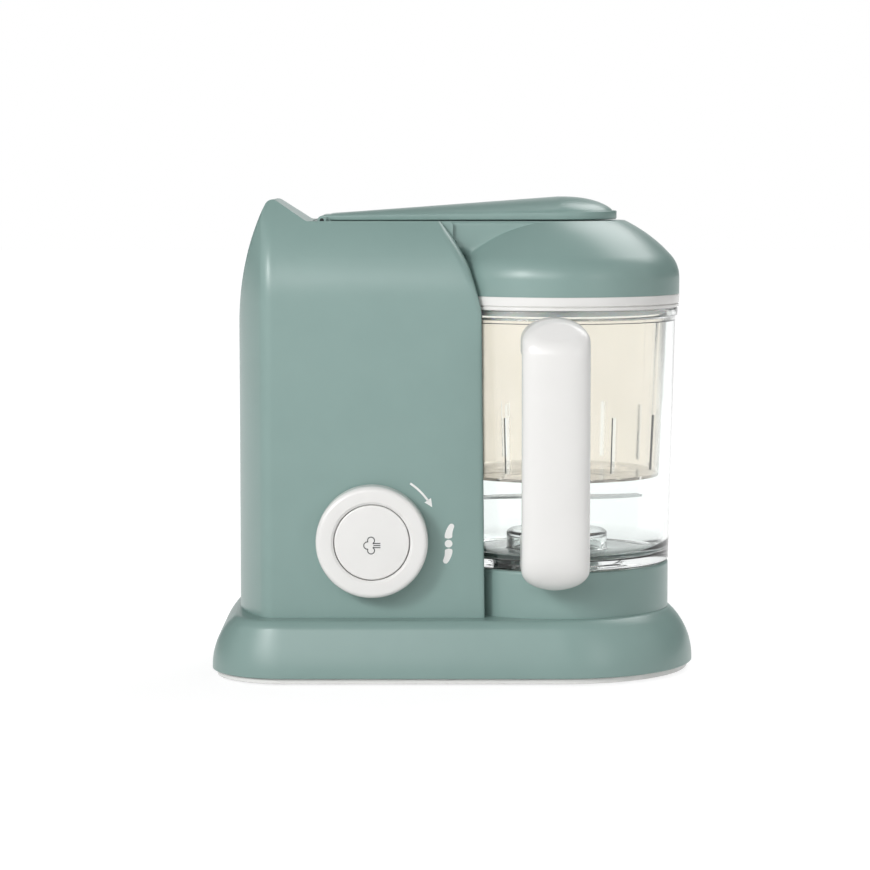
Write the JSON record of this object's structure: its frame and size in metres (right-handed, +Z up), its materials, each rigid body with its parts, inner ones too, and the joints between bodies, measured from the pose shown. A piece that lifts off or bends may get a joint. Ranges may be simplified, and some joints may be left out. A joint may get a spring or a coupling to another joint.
{
  "type": "baby food maker",
  "caption": "Countertop steam cooker and blender for baby food: a tower with a water tank and control knob beside a clear handled bowl under a domed lid with a locking arm.",
  "frame": {"origin": "on the table under the middle of the machine's bounding box", "axes": "+Z up, +X from the tower to the bowl, -Y to the user's side with the knob and handle"},
  "size_m": [0.286, 0.1894, 0.282],
  "materials": {
    "sage_plastic": "satin moulded",
    "white_plastic": "polished moulded",
    "clear_plastic": "clear polished",
    "amber_plastic": "tinted clear",
    "grey_plastic": "moulded",
    "circuit_board": "varnished laminate",
    "silicone": "moulded",
    "black_rubber": "moulded",
    "stainless_steel": "ground",
    "motor_steel": "pressed and plated",
    "cast_aluminium": "as cast",
    "carbon": "pressed carbon"
  },
  "bodies": {
    "housing": {"base_shell": "sage_plastic", "base_plate": "white_plastic", "rubber_feet": "black_rubber", "base_screws": "stainless_steel", "tower_front_shell": "sage_plastic", "tower_rear_shell": "sage_plastic", "tower_tray": "sage_plastic", "hinge_pin": "stainless_steel", "bowl_pedestal": "sage_plastic", "water_tank": "grey_plastic", "tank_cover": "grey_plastic", "tank_seal": "silicone", "boiler_plate": "cast_aluminium", "heating_element": "motor_steel", "thermostat": "motor_steel", "steam_tube": "silicone", "motor_can": "motor_steel", "motor_cap": "grey_plastic", "motor_mounts": "black_rubber", "motor_stator": "motor_steel", "carbon_brushes": "carbon", "lower_bearing": "stainless_steel", "upper_bearing": "stainless_steel", "knob_bush": "grey_plastic", "rotary_switch": "grey_plastic", "control_board": "circuit_board", "lid_switch": "grey_plastic", "cord_gland": "black_rubber"},
    "lid": {"lid_dome": "sage_plastic", "lid_ring": "white_plastic", "lid_gasket": "silicone", "steam_duct": "white_plastic", "steam_nozzle": "white_plastic", "tank_gasket": "silicone"},
    "arm": {"arm_plate": "sage_plastic", "arm_cover": "sage_plastic"},
    "knob": {"knob_ring": "white_plastic"},
    "button": {"steam_button": "white_plastic"},
    "bowl": {"bowl": "clear_plastic", "bowl_handle": "white_plastic", "handle_cover": "white_plastic", "handle_screws": "stainless_steel", "bowl_bush": "grey_plastic", "bowl_seal": "silicone", "steam_basket": "amber_plastic"},
    "drive": {"motor_armature": "motor_steel", "motor_shaft": "stainless_steel", "cooling_fan": "grey_plastic", "drive_coupling": "grey_plastic", "blade_coupling": "grey_plastic", "blade_shaft": "stainless_steel", "blade_hub": "grey_plastic", "blade": "stainless_steel", "blade_cap": "white_plastic"}
  },
  "joints": [
    {"name": "lid_hinge", "type": "hinge", "parent": "housing", "child": "lid", "pos_m": [-0.0775, 0.0133, 0.2684], "axis": [0, -1, 0], "range_deg": [0, 85]},
    {"name": "arm_release", "type": "hinge", "parent": "lid", "child": "arm", "pos_m": [-0.0775, 0.0133, 0.2684], "axis": [0, -1, 0], "range_deg": [0, 20]},
    {"name": "knob_turn", "type": "hinge", "parent": "housing", "child": "knob", "pos_m": [-0.0481, -0.0472, 0.0835], "axis": [0, 1, 0], "range_deg": [0, 45], "stiffness_Nm_per_rad": 0.2},
    {"name": "button_press", "type": "slide", "parent": "knob", "child": "button", "axis": [0, 1, 0], "range_m": [0, 0.002], "stiffness_N_per_m": 600},
    {"name": "bowl_twist", "type": "hinge", "parent": "housing", "child": "bowl", "pos_m": [0.0616, 0.0133, 0.065], "axis": [0, 0, 1], "range_deg": [0, 30]},
    {"name": "drive_spin", "type": "hinge", "parent": "housing", "child": "drive", "pos_m": [0.0616, 0.0133, 0.065], "axis": [0, 0, 1], "continuous": true}
  ]
}
